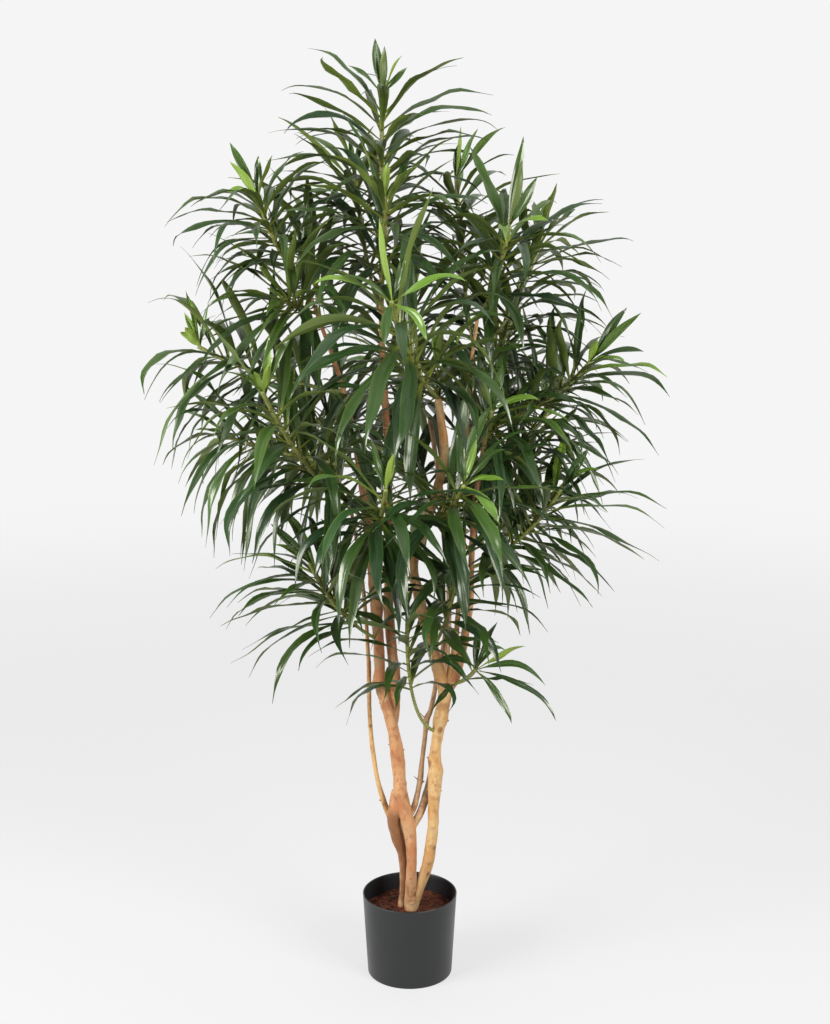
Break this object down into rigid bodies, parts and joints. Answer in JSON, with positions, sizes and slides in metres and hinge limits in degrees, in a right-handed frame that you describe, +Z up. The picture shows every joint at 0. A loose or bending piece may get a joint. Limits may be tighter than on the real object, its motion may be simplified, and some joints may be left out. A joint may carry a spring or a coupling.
{
  "type": "artificial potted dracaena tree",
  "caption": "Artificial dracaena tree: slim wooden stems in a round nursery pot carry many heads of narrow arching leaves, as a free-standing indoor decoration.",
  "frame": {"origin": "centre of the pot's flat underside, where the plant stands on the floor", "axes": "+Z up along the stems, -Y towards the front, +X to the right seen from the front"},
  "size_m": [1.0025, 0.9524, 1.8091],
  "materials": {
    "pot_plastic": "moulded charcoal plastic with a soft sheen",
    "ballast": "rough red-brown crumbs over a cast filling",
    "stem_wood_red": "bare orange-brown wood",
    "stem_wood_tan": "bare yellow-tan wood",
    "foliage": "dark green leaves with a waxy sheen"
  },
  "bodies": {
    "root": {"pot": "pot_plastic", "pot_fill": "ballast", "stem_centre": "stem_wood_red", "stem_left": "stem_wood_red", "stem_right": "stem_wood_tan", "bough_left": "stem_wood_red", "leader": "stem_wood_red", "bough_right": "stem_wood_red", "bough_front": "stem_wood_tan", "bough_middle": "stem_wood_tan", "shoot_left": "stem_wood_tan", "shoot_right": "stem_wood_tan", "bough_back": "stem_wood_tan", "head_top": "foliage", "head_upper_front": "foliage", "head_upper_back": "foliage", "head_upper_middle_back": "foliage", "head_upper_left": "foliage", "head_upper_left_back": "foliage", "head_upper_right": "foliage", "head_upper_right_back": "foliage", "head_right_upper_back": "foliage", "head_left_inner": "foliage", "head_left": "foliage", "head_left_front": "foliage", "head_left_back": "foliage", "head_front": "foliage", "head_centre": "foliage", "head_right_inner": "foliage", "head_right": "foliage", "head_right_back": "foliage", "head_low_front": "foliage", "head_low_right_front": "foliage", "head_low_right": "foliage", "head_low_right_back": "foliage", "head_low_left": "foliage", "head_low_middle": "foliage", "head_low_left_back": "foliage", "head_back_left": "foliage", "head_back_upper": "foliage", "head_back": "foliage", "head_back_right": "foliage", "head_back_low": "foliage", "head_back_low_right": "foliage", "head_sprout_left": "foliage", "head_sprout_right": "foliage"}
  },
  "joints": []
}
